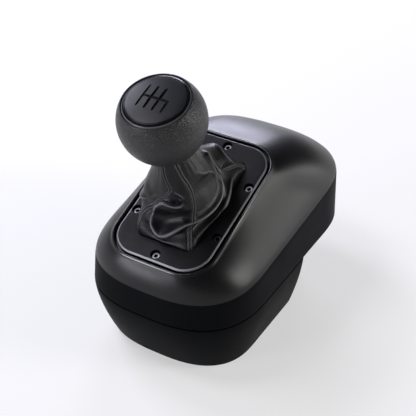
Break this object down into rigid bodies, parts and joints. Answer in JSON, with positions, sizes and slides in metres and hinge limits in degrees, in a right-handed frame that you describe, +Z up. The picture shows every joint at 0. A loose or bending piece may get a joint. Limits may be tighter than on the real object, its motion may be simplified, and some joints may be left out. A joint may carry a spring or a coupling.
{
  "type": "sim racing gear shifter",
  "caption": "Desk-mounted H-pattern gear shifter for racing games: a ball knob on a gated lever with a leather boot, in a domed housing with table clamps.",
  "frame": {"origin": "on the table, below the middle of the housing", "axes": "+X to the driver's right, +Y away from the driver, +Z up"},
  "size_m": [0.115, 0.185, 0.1902],
  "materials": {
    "shell_plastic": "satin moulded ABS, near black",
    "base_plastic": "satin moulded ABS, near black",
    "plate_paint": "matte black powder coat with a polished edge",
    "boot_leather": "black grained leather with twin stitched seams",
    "knob_leather": "black grained leather skin",
    "trim_gloss": "gloss black",
    "cap_satin": "satin dark grey with engraved lines",
    "screw_steel": "plain steel",
    "frame_metal": "die cast, as cast",
    "pivot_steel": "ground steel",
    "bronze": "sintered bronze and brass",
    "plate_steel": "black coated steel sheet",
    "sensor_plastic": "moulded blue plastic",
    "board": "green circuit board",
    "dark_plastic": "moulded black nylon",
    "rubber": "matte black rubber"
  },
  "bodies": {
    "housing": {"upper_shell": "shell_plastic", "lower_base": "base_plastic", "base_plate": "plate_steel", "overhang_floor": "base_plastic", "top_plate": "plate_paint", "plate_screws": "screw_steel", "boot_frame": "dark_plastic", "boot": "boot_leather", "mechanism_frame": "frame_metal", "trunnion_bushes": "bronze", "gate_plate": "pivot_steel", "gate_screws": "screw_steel", "select_sensor": "sensor_plastic", "centring_springs": "pivot_steel", "control_board": "board", "board_screws": "screw_steel", "port_connector": "dark_plastic", "base_screws": "screw_steel", "shell_screws": "screw_steel", "rubber_feet": "rubber", "mount_inserts": "bronze", "table_pads": "rubber"},
    "cradle": {"cradle": "frame_metal", "axle_bushes": "bronze", "shift_sensor": "sensor_plastic", "ball_plunger": "pivot_steel"},
    "yoke": {"yoke": "frame_metal", "axle_pins": "pivot_steel", "detent_cam": "pivot_steel", "return_spring": "pivot_steel", "reverse_switch": "dark_plastic"},
    "lever": {"lever_shaft": "pivot_steel", "gate_pin": "pivot_steel", "spring_collar": "frame_metal", "stop_ring": "frame_metal", "boot_collar": "dark_plastic", "knob_body": "knob_leather", "knob_insert": "bronze", "knob_nut": "screw_steel", "knob_ring": "trim_gloss", "knob_cap": "cap_satin"},
    "clamp_screw_left": {"clamp_screw_left": "plate_steel", "clamp_clip_left": "screw_steel"},
    "clamp_screw_right": {"clamp_screw_right": "plate_steel", "clamp_clip_right": "screw_steel"},
    "clamp_jaw_left": {"clamp_jaw_left": "dark_plastic", "jaw_pad_left": "rubber"},
    "clamp_jaw_right": {"clamp_jaw_right": "dark_plastic", "jaw_pad_right": "rubber"}
  },
  "joints": [
    {"name": "select", "type": "hinge", "parent": "housing", "child": "cradle", "pos_m": [0, -0.02874, 0.0667], "axis": [0, 0.9397, 0.342], "range_deg": [-10, 10], "stiffness_Nm_per_rad": 3, "deforming": ["boot", "centring_springs"]},
    {"name": "shift", "type": "hinge", "parent": "cradle", "child": "yoke", "pos_m": [0, -0.02874, 0.0667], "axis": [1, 0, 0], "range_deg": [-14, 14], "deforming": ["boot"]},
    {"name": "press", "type": "slide", "parent": "yoke", "child": "lever", "axis": [0, 0.342, -0.9397], "range_m": [0, 0.006], "stiffness_N_per_m": 1000, "springref_m": -0.005, "deforming": ["boot", "return_spring"]},
    {"name": "clamp_left_turn", "type": "hinge", "parent": "housing", "child": "clamp_screw_left", "pos_m": [-0.022, 0.0327, 0], "axis": [0, 0, -1], "range_deg": [0, 1620]},
    {"name": "clamp_left_slide", "type": "slide", "parent": "housing", "child": "clamp_jaw_left", "axis": [0, 0, 1], "range_m": [0, 0.018]},
    {"name": "clamp_right_turn", "type": "hinge", "parent": "housing", "child": "clamp_screw_right", "pos_m": [0.022, 0.0327, 0], "axis": [0, 0, -1], "range_deg": [0, 1620]},
    {"name": "clamp_right_slide", "type": "slide", "parent": "housing", "child": "clamp_jaw_right", "axis": [0, 0, 1], "range_m": [0, 0.018]}
  ],
  "couplings": [
    {"joint": "clamp_left_turn", "follows": "clamp_left_slide", "rad_per_m": 1570.8},
    {"joint": "clamp_right_turn", "follows": "clamp_right_slide", "rad_per_m": 1570.8}
  ]
}
